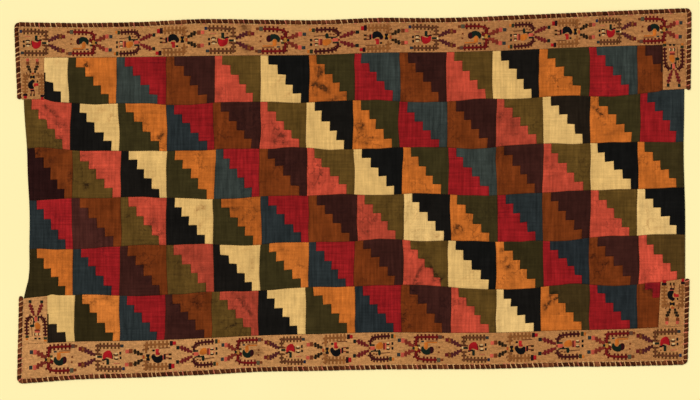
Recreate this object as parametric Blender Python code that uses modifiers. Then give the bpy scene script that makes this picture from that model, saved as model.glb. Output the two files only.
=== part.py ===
# Funerary mantle: a large rectangular cloth that lies flat, face up.
# A checkered centre field, a border band sewn along each long side, a short border tab
# that turns each corner, and a padded edging sewn round each band and its two tabs.
# Units are metres. X runs along the mantle, Y across it, and Z is up from the surface it lies on.

from collections import namedtuple
from math import ceil, floor

import bpy

# Driving dimensions
FIELD_THICKNESS = 0.0020
BORDER_THICKNESS = 0.0025
EDGING_WIDTH = 0.0170
EDGING_THICKNESS = 0.0060
EDGING_ROUNDING = 0.0022
ROUNDING_STEPS = 3
SEAM_GAP = 0.0003
CORNER_RADIUS = 0.0240
EDGING_END_RADIUS = 0.0060
BAND_CORNER_RADIUS = 0.0030
OUTLINE_STEP = 0.0400
ARC_STEPS = 6
WELD_DISTANCE = 0.0001
FLAT_ANGLE = 0.0005
SHARP_ANGLE = 1.0

# A whole step this near the end of a run, as a share of a step, is left out of it.
STEP_CLEARANCE = 0.65

# The long lines of the cloth, each at twelve stations along its length.
Station = namedtuple("Station", "x top upper_seam lower_seam bottom")
STATIONS = [
    Station(-1.278, 0.667, 0.531, -0.570, -0.722),
    Station(-1.047, 0.664, 0.531, -0.559, -0.705),
    Station(-0.817, 0.668, 0.533, -0.556, -0.698),
    Station(-0.587, 0.679, 0.537, -0.547, -0.688),
    Station(-0.357, 0.677, 0.539, -0.536, -0.676),
    Station(-0.126, 0.675, 0.541, -0.530, -0.672),
    Station(0.104, 0.684, 0.550, -0.524, -0.667),
    Station(0.334, 0.683, 0.551, -0.526, -0.666),
    Station(0.564, 0.691, 0.557, -0.525, -0.664),
    Station(0.795, 0.701, 0.567, -0.517, -0.657),
    Station(1.025, 0.711, 0.575, -0.512, -0.655),
    Station(1.278, 0.721, 0.582, -0.499, -0.649),
]

# The two short sides of the centre field, from the lowest level up.
Level = namedtuple("Level", "y left right")
LEVELS = [
    Level(-0.420, -1.270, 1.275),
    Level(-0.360, -1.256, 1.275),
    Level(-0.305, -1.243, 1.275),
    Level(-0.200, -1.242, 1.275),
    Level(-0.060, -1.241, 1.275),
    Level(0.075, -1.248, 1.271),
    Level(0.180, -1.251, 1.269),
    Level(0.300, -1.260, 1.271),
    Level(0.440, -1.267, 1.272),
]

# The border tabs. "Outer" is the outer side of the edging and "inner" the side against the
# field. Each is given at the band's seam and at the tab's free end.
Tab = namedtuple("Tab", "outer_at_band outer_at_end inner_at_band inner_at_end end_at_outer end_at_inner")
UPPER_LEFT = Tab(-1.296, -1.289, -1.185, -1.185, 0.370, 0.372)
UPPER_RIGHT = Tab(1.299, 1.297, 1.189, 1.189, 0.411, 0.406)
LOWER_LEFT = Tab(-1.287, -1.283, -1.172, -1.173, -0.394, -0.384)
LOWER_RIGHT = Tab(1.289, 1.293, 1.172, 1.181, -0.317, -0.331)

# Colours are linear RGB.
Finish = namedtuple("Finish", "name colour roughness")
FIELD_WOOL = Finish("field_wool", (0.150, 0.050, 0.028), 0.90)
BORDER_WOOL = Finish("border_wool", (0.420, 0.245, 0.110), 0.90)
EDGING_WOOL = Finish("edging_wool", (0.075, 0.016, 0.014), 0.85)


def smooth_line(places, values):
    """A function that runs smoothly through the values at the places, which increase."""

    def slope(i):
        before = max(i - 1, 0)
        after = min(i + 1, len(places) - 1)
        return (values[after] - values[before]) / (places[after] - places[before])

    def value_at(place):
        i = 0
        while i < len(places) - 2 and place > places[i + 1]:
            i += 1
        span = places[i + 1] - places[i]
        t = min(max((place - places[i]) / span, 0.0), 1.0)
        start_part = (2 * t**3 - 3 * t**2 + 1) * values[i] + (t**3 - 2 * t**2 + t) * slope(i) * span
        end_part = (3 * t**2 - 2 * t**3) * values[i + 1] + (t**3 - t**2) * slope(i + 1) * span
        return start_part + end_part

    return value_at


def long_line(column):
    """One long line of the cloth: its y at any x."""
    places = [station.x for station in STATIONS]
    return smooth_line(places, [getattr(station, column) for station in STATIONS])


def short_side(column):
    """One short side of the field: its x at any y."""
    places = [level.y for level in LEVELS]
    return smooth_line(places, [getattr(level, column) for level in LEVELS])


def steps_between(start, end):
    """Start, end and the whole steps between them, so that the two sides of a seam share their points."""
    low, high = sorted((start, end))
    first = ceil(low / OUTLINE_STEP + STEP_CLEARANCE)
    last = floor(high / OUTLINE_STEP - STEP_CLEARANCE)
    places = [low, *(i * OUTLINE_STEP for i in range(first, last + 1)), high]
    return places if start < end else places[::-1]


def rounded_corner(before, corner, after, radius):
    """Points that cut a corner with an even curve, starting and ending radius away from it."""

    def towards(other):
        dx, dy = other[0] - corner[0], other[1] - corner[1]
        length = (dx**2 + dy**2) ** 0.5
        return corner[0] + dx / length * radius, corner[1] + dy / length * radius

    start, end = towards(before), towards(after)
    points = []
    for i in range(ARC_STEPS + 1):
        t = i / ARC_STEPS
        shares = (1 - t) ** 2, 2 * t * (1 - t), t**2
        pulls = list(zip(shares, (start, corner, end)))
        points.append((sum(share * x for share, (x, _) in pulls), sum(share * y for share, (_, y) in pulls)))
    return points


class Border:
    """The lines of one half of the border: a band, a tab at each end of it, and the edging round them."""

    def __init__(self, outline, seam, outwards, left, right):
        self.outline = long_line(outline)
        self.seam = long_line(seam)
        self.outwards = outwards
        self.left = left
        self.right = right

    def side_x(self, tab, y, inset):
        """The outer side of a tab at height y, moved towards the middle by inset."""
        band_y = self.seam(tab.outer_at_band)
        share = (y - tab.end_at_outer) / (band_y - tab.end_at_outer)
        x = tab.outer_at_end + (tab.outer_at_band - tab.outer_at_end) * share
        return x - inset if x > 0 else x + inset

    def tab_end_y(self, tab, x):
        """The height of a tab's free end at x, which slopes a little from the field to the edging."""
        outer_x = self.side_x(tab, tab.end_at_outer, EDGING_WIDTH)
        share = (x - tab.inner_at_end) / (outer_x - tab.inner_at_end)
        return tab.end_at_inner + (tab.end_at_outer - tab.end_at_inner) * share

    def run_y(self, x, inset):
        """The long outline at x, moved inwards by inset."""
        return self.outline(x) - self.outwards * inset

    def corner_x(self, tab, inset):
        """Where a tab's outer side meets the long outline, both moved inwards by inset."""
        return self.side_x(tab, self.run_y(tab.outer_at_band, inset), inset)

    def seam_end_x(self, tab, inset):
        """Where the seam between band and tab meets the tab's outer side, moved inwards by inset."""
        return self.side_x(tab, self.seam(tab.outer_at_band), inset)

    def side_ends(self, tab, inset):
        """The two ends of a tab's straight outer side: its free end and the long outline's corner."""
        corner_x = self.corner_x(tab, inset)
        free_end = (self.side_x(tab, tab.end_at_outer, inset), tab.end_at_outer)
        return free_end, (corner_x, self.run_y(corner_x, inset))

    def long_run(self, inset):
        """The long outline from the left corner to the right one, moved inwards by inset."""
        left_x, right_x = (self.corner_x(tab, inset) for tab in (self.left, self.right))
        return [(x, self.run_y(x, inset)) for x in steps_between(left_x, right_x)]

    def seam_run(self, start, end, shift):
        """The seam between the band and the field from one x to another, moved outwards by shift."""
        return [(x, self.seam(x) + self.outwards * shift) for x in steps_between(start, end)]

    def edging_outline(self):
        """A bracket round the band and its two tabs, with round outer corners and ends."""
        run = self.long_run(0.0)
        left_end, left_corner = self.side_ends(self.left, 0.0)
        right_end, right_corner = self.side_ends(self.right, 0.0)
        inner_left_end, inner_left_corner = self.side_ends(self.left, EDGING_WIDTH)
        inner_right_end, inner_right_corner = self.side_ends(self.right, EDGING_WIDTH)
        points = rounded_corner(inner_left_end, left_end, left_corner, EDGING_END_RADIUS)
        points += rounded_corner(left_end, left_corner, run[1], CORNER_RADIUS)
        points += run[1:-1]
        points += rounded_corner(run[-2], right_corner, right_end, CORNER_RADIUS)
        points += rounded_corner(right_corner, right_end, inner_right_end, EDGING_END_RADIUS)
        points += [inner_right_end, inner_right_corner]
        points += self.long_run(EDGING_WIDTH)[-2:0:-1]
        points += [inner_left_corner, inner_left_end]
        return points

    def band_outline(self):
        """The band, from edging to edging and from edging to seam."""
        inset = EDGING_WIDTH + SEAM_GAP
        run = self.long_run(inset)
        left_x, right_x = (self.seam_end_x(tab, inset) for tab in (self.left, self.right))
        seam = self.seam_run(right_x, left_x, SEAM_GAP / 2)
        points = rounded_corner(seam[-1], run[0], run[1], BAND_CORNER_RADIUS)
        points += run[1:-1]
        points += rounded_corner(run[-2], run[-1], seam[0], BAND_CORNER_RADIUS)
        return points + seam

    def tab_outline(self, tab):
        """A tab: from the band's seam to its free end, and from the edging to the field."""
        inset = EDGING_WIDTH + SEAM_GAP
        at_band = self.seam_run(tab.inner_at_band, self.seam_end_x(tab, inset), -SEAM_GAP / 2)
        free_end, _ = self.side_ends(tab, inset)
        return [*at_band, free_end, (tab.inner_at_end, tab.end_at_inner)]

    def notch(self, tab, side):
        """The corner that a tab takes from the field, from the seam to the field's short side."""
        inwards = -1 if tab.inner_at_band > 0 else 1
        seam_x = tab.inner_at_band + inwards * SEAM_GAP
        end_x = tab.inner_at_end + inwards * SEAM_GAP
        side_at_end = side(tab.end_at_outer)
        below_end = -self.outwards * SEAM_GAP
        return [
            (seam_x, self.seam(seam_x) - self.outwards * SEAM_GAP / 2),
            (end_x, self.tab_end_y(tab, end_x) + below_end),
            (side_at_end, self.tab_end_y(tab, side_at_end) + below_end),
        ]


def field_outline(upper, lower):
    """The centre field, with a notch for a border tab at each corner."""
    left, right = short_side("left"), short_side("right")
    upper_left, upper_right = upper.notch(upper.left, left), upper.notch(upper.right, right)
    lower_left, lower_right = lower.notch(lower.left, left), lower.notch(lower.right, right)

    def side_between(line, start, end):
        return [(line(y), y) for y in steps_between(start[1], end[1])[1:-1]]

    points = upper_left[::-1]
    points += upper.seam_run(upper_left[0][0], upper_right[0][0], -SEAM_GAP / 2)[1:-1]
    points += upper_right
    points += side_between(right, upper_right[-1], lower_right[-1])
    points += lower_right[::-1]
    points += lower.seam_run(lower_right[0][0], lower_left[0][0], -SEAM_GAP / 2)[1:-1]
    points += lower_left
    points += side_between(left, lower_left[-1], upper_left[-1])
    return points


def wool(finish):
    material = bpy.data.materials.new(finish.name)
    material.use_nodes = True
    shader = material.node_tree.nodes["Principled BSDF"]
    shader.inputs["Base Color"].default_value = (*finish.colour, 1.0)
    shader.inputs["Roughness"].default_value = finish.roughness
    shader.inputs["Metallic"].default_value = 0.0
    return material


def cut_piece(name, outline, thickness, material, collection):
    """A flat piece of cloth, cut to a closed outline, that lies on the surface."""
    curve = bpy.data.curves.new(name, "CURVE")
    curve.dimensions = "2D"
    curve.fill_mode = "BOTH"
    curve.extrude = thickness / 2
    spline = curve.splines.new("POLY")
    spline.points.add(len(outline) - 1)
    for point, (x, y) in zip(spline.points, outline):
        point.co = (x, y, 0.0, 1.0)
    spline.use_cyclic_u = True
    curve.materials.append(material)
    piece = bpy.data.objects.new(name, curve)
    piece.location.z = thickness / 2
    collection.objects.link(piece)
    return piece


def round_edges(piece, width):
    """Rounds the long edges of a padded piece."""
    weld = piece.modifiers.new("weld", "WELD")
    weld.merge_threshold = WELD_DISTANCE
    whole_faces = piece.modifiers.new("whole_faces", "DECIMATE")
    whole_faces.decimate_type = "DISSOLVE"
    whole_faces.angle_limit = FLAT_ANGLE
    bevel = piece.modifiers.new("rounding", "BEVEL")
    bevel.width = width
    bevel.segments = ROUNDING_STEPS
    bevel.limit_method = "ANGLE"
    bevel.angle_limit = SHARP_ANGLE


def main():
    for leftover in list(bpy.data.objects):
        bpy.data.objects.remove(leftover)
    collection = bpy.data.collections.new("funerary_mantle")
    bpy.context.scene.collection.children.link(collection)

    upper = Border("top", "upper_seam", 1, UPPER_LEFT, UPPER_RIGHT)
    lower = Border("bottom", "lower_seam", -1, LOWER_LEFT, LOWER_RIGHT)
    field_wool, border_wool, edging_wool = (wool(finish) for finish in (FIELD_WOOL, BORDER_WOOL, EDGING_WOOL))
    cut_piece("field", field_outline(upper, lower), FIELD_THICKNESS, field_wool, collection)
    for half, border in (("upper", upper), ("lower", lower)):
        cut_piece(f"border_band_{half}", border.band_outline(), BORDER_THICKNESS, border_wool, collection)
        for side, tab in (("left", border.left), ("right", border.right)):
            name = f"border_tab_{half}_{side}"
            cut_piece(name, border.tab_outline(tab), BORDER_THICKNESS, border_wool, collection)
        outline = border.edging_outline()
        edging = cut_piece(f"edging_{half}", outline, EDGING_THICKNESS, edging_wool, collection)
        round_edges(edging, EDGING_ROUNDING)


main()
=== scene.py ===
import random
from collections import namedtuple
from math import atan2, ceil, cos, exp, hypot, pi, radians, sin

import bmesh
import bpy
from mathutils import Matrix, Vector, noise


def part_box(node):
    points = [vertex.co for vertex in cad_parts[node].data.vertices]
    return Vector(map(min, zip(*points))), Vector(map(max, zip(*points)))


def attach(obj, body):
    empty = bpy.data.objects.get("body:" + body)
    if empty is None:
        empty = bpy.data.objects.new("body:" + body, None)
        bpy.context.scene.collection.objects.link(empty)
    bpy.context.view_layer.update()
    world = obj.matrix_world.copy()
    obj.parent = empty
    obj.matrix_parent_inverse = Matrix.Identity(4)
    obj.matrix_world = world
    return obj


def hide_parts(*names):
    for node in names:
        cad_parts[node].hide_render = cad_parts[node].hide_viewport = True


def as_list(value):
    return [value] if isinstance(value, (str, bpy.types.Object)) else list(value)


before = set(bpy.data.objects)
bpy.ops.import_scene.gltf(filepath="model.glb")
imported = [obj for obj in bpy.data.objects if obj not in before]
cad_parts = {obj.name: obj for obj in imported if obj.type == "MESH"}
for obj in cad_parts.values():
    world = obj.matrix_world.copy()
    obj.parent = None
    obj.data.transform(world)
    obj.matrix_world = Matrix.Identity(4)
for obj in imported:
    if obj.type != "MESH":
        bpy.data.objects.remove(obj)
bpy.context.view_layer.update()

# Funerary mantle, laid flat with its decorated face up. Sizes in the settings are millimetres.

mm = 0.001
seamGap = 0.15 * mm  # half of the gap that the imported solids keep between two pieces
random.seed(1407)


# A colour as a screen shows it, 0 to 255, turned into the linear values of a shader.
def dyed(red, green, blue):
    shares = [value / 255 for value in (red, green, blue)]
    return tuple(s / 12.92 if s <= 0.04045 else ((s + 0.055) / 1.055) ** 2.4 for s in shares)


def smoothShare(share):
    share = min(max(share, 0.0), 1.0)
    return share * share * (3 - 2 * share)


def between(low, high, share):
    return low + (high - low) * share


# Lines of the cloth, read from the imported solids

lineStep = 10 * mm
lineMargin = 0.4 * mm
nodeEdges = {}


def edgesOf(nodeName):
    if nodeName not in nodeEdges:
        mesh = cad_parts[nodeName].data
        nodeEdges[nodeName] = [[tuple(mesh.vertices[i].co) for i in edge.vertices] for edge in mesh.edges]
    return nodeEdges[nodeName]


# Where a straight line at one x (axis 0) or one y (axis 1) enters and leaves a node.
def crossings(nodeName, axis, place):
    other = 1 - axis
    hits = []
    for a, b in edgesOf(nodeName):
        if a[axis] != b[axis] and min(a[axis], b[axis]) <= place <= max(a[axis], b[axis]):
            share = (place - a[axis]) / (b[axis] - a[axis])
            hits.append(between(a[other], b[other], share))
    return min(hits), max(hits)


# One side of a node as a function: side 0 is its lower or left one, side 1 its upper or right one.
# It is read at count + 1 places, and runs straight on beyond them.
def sideLine(nodeName, axis, side, start, end, count=None):
    count = count or ceil((end - start) / lineStep)
    values = [crossings(nodeName, axis, between(start, end, i / count))[side] for i in range(count + 1)]

    def valueAt(place):
        position = (place - start) / (end - start) * count
        i = min(max(int(position), 0), count - 1)
        return between(values[i], values[i + 1], position - i)

    return valueAt


def wholeSide(nodeName, axis, side, margin=lineMargin, count=None):
    low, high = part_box(nodeName)
    return sideLine(nodeName, axis, side, low[axis] + margin, high[axis] - margin, count)


halves, sides = ("upper", "lower"), ("left", "right")
outwards = {"upper": 1, "lower": -1, "left": -1, "right": 1}
bandMargin = 6 * mm
tabMargin = 22 * mm
upperSeam = wholeSide("border_band_upper", 0, 0, bandMargin)
lowerSeam = wholeSide("border_band_lower", 0, 1, bandMargin)
tabNames = {(half, side): f"border_tab_{half}_{side}" for half in halves for side in sides}
tabEnds = {key: wholeSide(name, 0, halves.index(key[0]), tabMargin, 1) for key, name in tabNames.items()}
tabInner = {key: wholeSide(name, 1, 1 - sides.index(key[1]), tabMargin, 1) for key, name in tabNames.items()}
tabReach = {key: [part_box(name)[i][1] for i in (0, 1)] for key, name in tabNames.items()}
sideMargin = 4 * mm
fieldLeft = sideLine("field", 1, 0, tabReach["lower", "left"][1] + sideMargin,
                     tabReach["upper", "left"][0] - sideMargin)
fieldRight = sideLine("field", 1, 1, tabReach["lower", "right"][1] + sideMargin,
                      tabReach["upper", "right"][0] - sideMargin)
print("lines of the cloth read")


# Folds and ripples

# Each ripple: how often a metre across and along, its height in mm, a seed.
ripples = [(2.1, 1.7, 0.35, 3.7), (9.0, 6.0, 0.45, 11.3), (31.0, 17.0, 0.22, 5.1)]
crease = namedtuple("crease", "x y length width turn lift")
creases = [crease(*row) for row in (
    (286, -294, 60, 9, -62, 1.6), (262, -262, 38, 7, 24, 1), (312, -338, 45, 8, -20, 1.1),
    (-407, -467, 55, 8, -48, 1.4), (-385, -430, 36, 7, 15, 0.9), (-280, 232, 60, 10, -55, 1.2),
    (-1143, 318, 44, 7, 40, 1.1), (-1118, 296, 40, 6, 44, 0.8), (23, 262, 50, 8, 78, 0.9),
    (-127, 441, 46, 9, 70, 0.8), (403, -123, 34, 9, 20, 0.8), (795, -361, 60, 9, 8, 1),
    (-1017, 34, 52, 9, 65, 0.8), (-560, -170, 130, 12, 4, 0.7), (610, 110, 150, 12, 84, 0.7),
    (-830, 240, 120, 12, 88, 0.6), (940, -60, 140, 13, 86, 0.6),
)]


def creaseShape(fold, x, y):
    turn = radians(fold.turn)
    along = ((x - fold.x) * cos(turn) + (y - fold.y) * sin(turn)) / fold.length
    across = ((y - fold.y) * cos(turn) - (x - fold.x) * sin(turn)) / fold.width
    if abs(along) > 2 or abs(across) > 2.6:
        return 0.0
    return exp(-along * along - across * across)


# How far the cloth stands above the height at which it lies flat, never below it.
def clothLift(x, y):
    lift = 0.0
    for across, along, height, seed in ripples:
        lift += height * (0.5 + 0.5 * noise.noise(Vector((x * across, y * along, seed))))
    for fold in creases:
        lift += fold.lift * creaseShape(fold, x / mm, y / mm)
    return max(lift, 0.0) * mm


# Shader nodes: each helper adds nodes to a material's tree and gives back the socket that is read


def newMaterial(name):
    material = bpy.data.materials.new(name)
    material.use_nodes = True
    return material, material.node_tree


def addNode(tree, kind, values=None, **settings):
    made = tree.nodes.new(kind)
    for key, value in settings.items():
        setattr(made, key, value)
    for key, value in (values or {}).items():
        made.inputs[key].default_value = value
    return made


def objectPlaces(tree, scale):
    places = addNode(tree, "ShaderNodeTexCoord")
    mapping = addNode(tree, "ShaderNodeMapping", {"Scale": scale})
    tree.links.new(places.outputs["Object"], mapping.inputs["Vector"])
    return mapping.outputs["Vector"]


def texture(tree, kind, scale, output="Fac", values=None, **settings):
    made = addNode(tree, "ShaderNodeTex" + kind, {"Scale": 1.0, **(values or {})}, **settings)
    tree.links.new(objectPlaces(tree, scale), made.inputs["Vector"])
    return made.outputs[output]


def noiseValue(tree, scale, detail=2.0, roughness=0.55):
    return texture(tree, "Noise", scale, values={"Detail": detail, "Roughness": roughness})


# Spreads a value from its own range over another one. Noise lies mostly between 0.3 and 0.7.
def spread(tree, value, low, high, fromLow=0.3, fromHigh=0.7):
    made = addNode(tree, "ShaderNodeMapRange",
                   {"From Min": fromLow, "From Max": fromHigh, "To Min": low, "To Max": high})
    tree.links.new(value, made.inputs["Value"])
    return made.outputs["Result"]


def mottled(tree, scale, low, high, detail=2.0, roughness=0.55):
    return spread(tree, noiseValue(tree, scale, detail, roughness), low, high)


def mathNode(tree, operation, first, second):
    made = addNode(tree, "ShaderNodeMath", operation=operation)
    for socket, value in zip(made.inputs, (first, second)):
        if isinstance(value, float):
            socket.default_value = value
        else:
            tree.links.new(value, socket)
    return made.outputs[0]


def product(tree, *values):
    total = values[0]
    for value in values[1:]:
        total = mathNode(tree, "MULTIPLY", total, value)
    return total


def scaleColour(tree, colour, *factors):
    factor = product(tree, *factors)
    made = addNode(tree, "ShaderNodeVectorMath", operation="SCALE")
    tree.links.new(colour, made.inputs[0])
    tree.links.new(factor, made.inputs["Scale"])
    return made.outputs[0]


def blendColour(tree, factor, first, second):
    made = addNode(tree, "ShaderNodeMix", data_type="RGBA")
    for socket, value in zip((made.inputs[0], made.inputs[6], made.inputs[7]), (factor, first, second)):
        if isinstance(value, tuple):
            socket.default_value = (*dyed(*value), 1.0)
        else:
            tree.links.new(value, socket)
    return made.outputs[2]


def attribute(tree, name):
    return addNode(tree, "ShaderNodeAttribute", attribute_name=name).outputs["Fac"]


# Stops are places from 0 to 1, each with its colour as a screen shows it.
def toneRamp(tree, value, *stops):
    made = addNode(tree, "ShaderNodeValToRGB")
    elements = made.color_ramp.elements
    while len(elements) < len(stops):
        elements.new(0.5)
    for element, (place, colour) in zip(elements, stops):
        element.position = place
        element.color = (*dyed(*colour), 1.0)
    tree.links.new(value, made.inputs["Fac"])
    return made.outputs["Color"]


# Plain weave: warp and weft take turns on top. Gives the height of the yarns, 0 in the gaps.
def weaveHeight(tree, pitch):
    often = 1 / (pitch * mm)
    step = often * pi / 10  # a band of Blender's wave texture is a twentieth of pi of its scale long
    squares = texture(tree, "Checker", (often, often, 0.0))
    yarns = [texture(tree, "Wave", (step, step, 0.0), values={"Distortion": 0.0}, bands_direction=direction)
             for direction in ("X", "Y")]
    made = addNode(tree, "ShaderNodeMix", data_type="FLOAT")
    for socket, value in zip((made.inputs[0], made.inputs[2], made.inputs[3]), (squares, *yarns)):
        tree.links.new(value, socket)
    return made.outputs[0]


# Relief is the share of the bump that shows, and distance the height it stands for.
def finishWool(tree, colour, height, roughness, relief, distance):
    shader = tree.nodes["Principled BSDF"]
    shader.inputs["Roughness"].default_value = roughness
    shader.inputs["Specular IOR Level"].default_value = 0.03
    tree.links.new(colour, shader.inputs["Base Color"])
    bump = addNode(tree, "ShaderNodeBump", {"Strength": relief, "Distance": distance})
    tree.links.new(height, bump.inputs["Height"])
    tree.links.new(bump.outputs["Normal"], shader.inputs["Normal"])


# The field: squares of two half-squares that meet in a stepped diagonal

patch = {
    "rows": 6,
    "columns": 14,
    "stepColumns": 6,
    "stepRows": 5,
    "gridAcross": 24,
    "gridUp": 25,
    "height": 2.3,
    "thickness": 1.3,
    "seamDepth": 0.8,
    "seamWidth": 2.6,
    "puff": 0.35,
    "puffRun": 0.06,  # the share of the square over which it rises
    "pucker": {"height": 0.25, "often": 75, "seed": 2.2, "run": 0.09},
    "lotSpread": 0.22,
    "lotStep": 0.75,
    "unevenStep": 2.4,
    "fixedEdge": 45,
    "tabRun": 20,
    "wander": [(6.5, 7.0, 3.3), (15.0, 2.6, 8.8)],  # how often a metre, how far in mm, a seed
}

# Each row is pieced by itself: where it starts on the left, and the widths of its squares.
patchRows = [
    (-1271, (179, 185, 191, 186, 175, 186, 176, 172, 181, 176, 180, 189, 187, 180)),
    (-1255, (172, 183, 186, 178, 181, 177, 178, 177, 185, 189, 179, 181, 191, 167)),
    (-1246, (172, 183, 179, 182, 175, 180, 179, 186, 177, 186, 177, 180, 184, 175)),
    (-1240, (164, 184, 179, 178, 184, 182, 186, 180, 178, 180, 176, 179, 180, 184)),
    (-1241, (165, 180, 184, 177, 180, 186, 175, 186, 172, 182, 185, 178, 188, 176)),
    (-1265, (198, 172, 172, 181, 180, 181, 190, 178, 189, 174, 171, 187, 184, 182)),
]

# The five seams between the rows: their height at the middle of each square.
rowSeams = [
    (367, 351, 354, 351, 361, 356, 359, 366, 358, 369, 372, 387, 386, 402),
    (180, 172, 173, 177, 179, 187, 178, 183, 185, 183, 193, 201, 204, 207),
    (-16, -10, -5, -9, -7, -2, 5, 3, 6, 4, 6, 22, 27, 31),
    (-205, -202, -189, -189, -188, -179, -178, -166, -170, -173, -178, -170, -154, -150),
    (-376, -380, -384, -372, -366, -359, -348, -346, -345, -357, -355, -341, -346, -331),
]
squareMiddles = {"first": -1170, "pitch": 181.2}  # the middle of the first square, and their distance

# The two dyes of a square, lighter first. They step one square to the right from row to row.
dyePairs = [("cream", "black"), ("orange", "darkOlive"), ("red", "teal"), ("rust", "maroon"),
            ("coral", "olive")]
turnedFrom = 3  # from this diagonal on, the lighter dye is at the lower left
otherPairs = {(5, 13): ("rust", "red")}  # a square that breaks the order
raisedSteps = {(0, 0): 8.0, (5, 13): 11.0}  # squares whose steps sit higher, in mm

# Each dye as seen: stained, a darker lot, the usual one and a lighter one, how strongly the warp
# (streak), the weft (rib) and the wear show, and the squares (row, column) of the darker and lighter lot.
woolDye = namedtuple("woolDye", "stained darker usual lighter streak rib worn darkerIn lighterIn")
dyes = {
    "cream": woolDye((150, 96, 46), (212, 168, 98), (225, 181, 108), (232, 191, 121),
                     0.055, 0.035, 0.09, [], [(0, 0), (3, 8), (3, 13), (5, 10)]),
    "black": woolDye((14, 12, 10), (15, 15, 14), (19, 18, 16), (38, 28, 18),
                     0.1, 0.05, 0.14, [], [(5, 0), (1, 11)]),
    "orange": woolDye((78, 42, 18), (175, 90, 32), (198, 106, 39), (216, 127, 54),
                      0.08, 0.05, 0.16, [(3, 4), (0, 6)], [(5, 1)]),
    "darkOlive": woolDye((30, 24, 12), (47, 38, 17), (56, 48, 23), (68, 49, 22),
                         0.08, 0.06, 0.12, [(4, 0), (5, 1), (4, 10)], [(5, 11)]),
    "red": woolDye((86, 16, 24), (129, 23, 25), (144, 26, 28), (162, 33, 34),
                   0.1, 0.09, 0.12, [(5, 13)], [(3, 0)]),
    "teal": woolDye((24, 28, 30), (34, 39, 41), (41, 47, 47), (56, 62, 56),
                    0.14, 0.06, 0.12, [(4, 11), (5, 7), (5, 12)],
                    [(0, 2), (0, 7), (0, 12), (1, 8), (2, 4), (2, 9)]),
    "rust": woolDye((58, 24, 10), (103, 44, 14), (115, 52, 18), (129, 63, 23),
                    0.1, 0.05, 0.15, [], []),
    "maroon": woolDye((28, 12, 12), (39, 17, 15), (56, 27, 21), (76, 38, 31),
                      0.1, 0.06, 0.15, [(2, 0)], [(3, 1)]),
    "coral": woolDye((104, 42, 28), (166, 64, 44), (191, 72, 50), (216, 83, 60),
                     0.09, 0.06, 0.17, [(1, 10), (3, 7), (4, 3), (5, 4)], [(4, 13)]),
    "olive": woolDye((46, 30, 14), (80, 57, 24), (92, 67, 27), (106, 79, 35),
                     0.09, 0.07, 0.15, [(4, 13)], []),
}

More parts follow.
